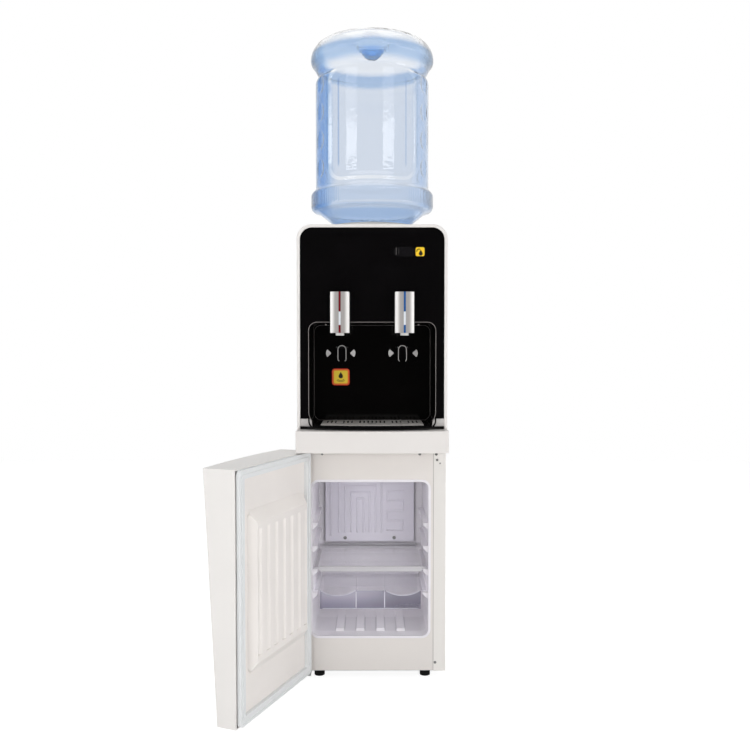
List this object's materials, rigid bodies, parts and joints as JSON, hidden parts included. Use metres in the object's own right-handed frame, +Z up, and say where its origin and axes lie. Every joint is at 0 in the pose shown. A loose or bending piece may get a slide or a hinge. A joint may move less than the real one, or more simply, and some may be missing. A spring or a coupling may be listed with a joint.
{
  "type": "bottled water cooler with fridge cabinet",
  "caption": "Free-standing hot and cold water cooler with a large bottle on top, taps over a dispensing niche, and a small refrigerator cabinet with a hinged door.",
  "frame": {"origin": "on the floor, under the middle of the cabinet, midway between its four feet", "axes": "+X to the right as seen from the front, +Y towards the back, +Z up"},
  "size_m": [0.454, 0.6327, 1.367],
  "materials": {
    "white_enamel": "satin",
    "white_plastic": "satin",
    "zinc_steel": "satin",
    "foam": "matte",
    "liner_plastic": "satin",
    "evaporator_metal": "satin",
    "screw_steel": "satin",
    "bracket_steel": "satin",
    "fascia_black": "gloss",
    "niche_black": "gloss",
    "trim_silver": "satin",
    "window_dark": "gloss",
    "key_yellow": "satin",
    "tap_silver": "satin",
    "strip_red": "gloss",
    "strip_blue": "gloss",
    "valve_white": "satin",
    "paddle_black": "satin",
    "tray_black": "gloss",
    "grille_steel": "satin",
    "probe_clear": "satin",
    "bottle_clear": "gloss",
    "cap_plastic": "matte",
    "tank_steel": "satin",
    "jacket_foam": "matte",
    "heater_mica": "matte",
    "silicone": "matte",
    "rear_grey": "satin",
    "switch_black": "matte",
    "rocker_green": "gloss",
    "rocker_red": "gloss",
    "board_green": "matte",
    "compressor_black": "satin",
    "grommet_rubber": "matte",
    "condenser_black": "satin",
    "copper": "satin",
    "shelf_glass": "gloss",
    "tray_clear": "gloss",
    "panel_white": "satin",
    "gasket_grey": "matte",
    "bush_nylon": "matte"
  },
  "bodies": {
    "cabinet": {"base_pan": "zinc_steel", "feet": "grommet_rubber", "side_panel_left": "white_enamel", "side_panel_right": "white_enamel", "cabinet_front": "white_enamel", "cabinet_back": "zinc_steel", "insulation": "foam", "fridge_liner": "liner_plastic", "evaporator_plate": "evaporator_metal", "screws": "screw_steel", "hinge_brackets": "bracket_steel", "hinge_pins": "bracket_steel", "mid_plate": "zinc_steel", "waist_moulding": "white_plastic", "upper_housing": "white_plastic", "front_fascia": "fascia_black", "niche_shell": "niche_black", "corner_trims": "trim_silver", "display_window": "window_dark", "tap_covers": "tap_silver", "hot_tap_strip": "strip_red", "cold_tap_strip": "strip_blue", "hot_tap_valve": "valve_white", "cold_tap_valve": "valve_white", "paddle_brackets": "paddle_black", "paddle_pins": "bracket_steel", "top_cover": "white_plastic", "bottle_collar": "white_plastic", "water_probe": "probe_clear", "cold_tank": "tank_steel", "cold_tank_jacket": "jacket_foam", "tank_shelf": "zinc_steel", "hot_tank": "tank_steel", "heater_band": "heater_mica", "water_pipes": "silicone", "rear_panel": "rear_grey", "rear_switches": "switch_black", "power_inlet": "switch_black", "control_board": "board_green", "compressor": "compressor_black", "compressor_mounts": "grommet_rubber", "condenser": "condenser_black", "condenser_wires": "condenser_black", "filter_drier": "copper"},
    "door": {"door_shell": "white_plastic", "door_panel": "panel_white", "door_gasket": "gasket_grey", "door_bushes": "bush_nylon"},
    "bottle": {"bottle": "bottle_clear", "bottle_cap": "cap_plastic"},
    "hot_paddle": {"hot_paddle": "paddle_black"},
    "cold_paddle": {"cold_paddle": "paddle_black"},
    "lock_key": {"lock_key": "key_yellow"},
    "drip_tray": {"drip_tray": "tray_black"},
    "drip_grille": {"drip_grille": "grille_steel"},
    "shelf": {"shelf": "shelf_glass"},
    "storage_tray": {"storage_tray": "tray_clear"},
    "cold_switch_rocker": {"cold_switch_rocker": "rocker_green"},
    "hot_switch_rocker": {"hot_switch_rocker": "rocker_red"},
    "drain_cap": {"drain_cap": "white_plastic"}
  },
  "joints": [
    {"name": "door_hinge", "type": "hinge", "parent": "cabinet", "child": "door", "pos_m": [-0.1403, -0.1815, 0], "axis": [0, 0, 1], "range_deg": [-5, 112]},
    {"name": "bottle_lift", "type": "slide", "parent": "cabinet", "child": "bottle", "axis": [0, 0, -1], "range_m": [-0.11, 0]},
    {"name": "hot_paddle_hinge", "type": "hinge", "parent": "cabinet", "child": "hot_paddle", "pos_m": [-0.0645, -0.106, 0.6958], "axis": [1, 0, 0], "range_deg": [0, 8], "stiffness_Nm_per_rad": 0.03, "springref_deg": -11.46},
    {"name": "cold_paddle_hinge", "type": "hinge", "parent": "cabinet", "child": "cold_paddle", "pos_m": [0.0645, -0.106, 0.6958], "axis": [1, 0, 0], "range_deg": [0, 8], "stiffness_Nm_per_rad": 0.03, "springref_deg": -11.46},
    {"name": "lock_key_press", "type": "slide", "parent": "cabinet", "child": "lock_key", "axis": [0, 1, 0], "range_m": [0, 0.002], "stiffness_N_per_m": 300, "springref_m": -0.002},
    {"name": "drip_tray_slide", "type": "slide", "parent": "cabinet", "child": "drip_tray", "axis": [0, 1, 0], "range_m": [-0.135, 0]},
    {"name": "drip_grille_lift", "type": "slide", "parent": "drip_tray", "child": "drip_grille", "axis": [0, 0, -1], "range_m": [-0.03, 0]},
    {"name": "shelf_slide", "type": "slide", "parent": "cabinet", "child": "shelf", "axis": [0, 1, 0], "range_m": [-0.2, 0]},
    {"name": "storage_tray_slide", "type": "slide", "parent": "cabinet", "child": "storage_tray", "axis": [0, 1, 0], "range_m": [-0.15, 0]},
    {"name": "cold_switch_rock", "type": "hinge", "parent": "cabinet", "child": "cold_switch_rocker", "pos_m": [0.1, 0.161, 0.564], "axis": [1, 0, 0], "range_deg": [0, 14]},
    {"name": "hot_switch_rock", "type": "hinge", "parent": "cabinet", "child": "hot_switch_rocker", "pos_m": [0.1, 0.161, 0.604], "axis": [1, 0, 0], "range_deg": [0, 14]},
    {"name": "drain_cap_pull", "type": "slide", "parent": "cabinet", "child": "drain_cap", "axis": [0, -1, 0], "range_m": [-0.02, 0]}
  ]
}
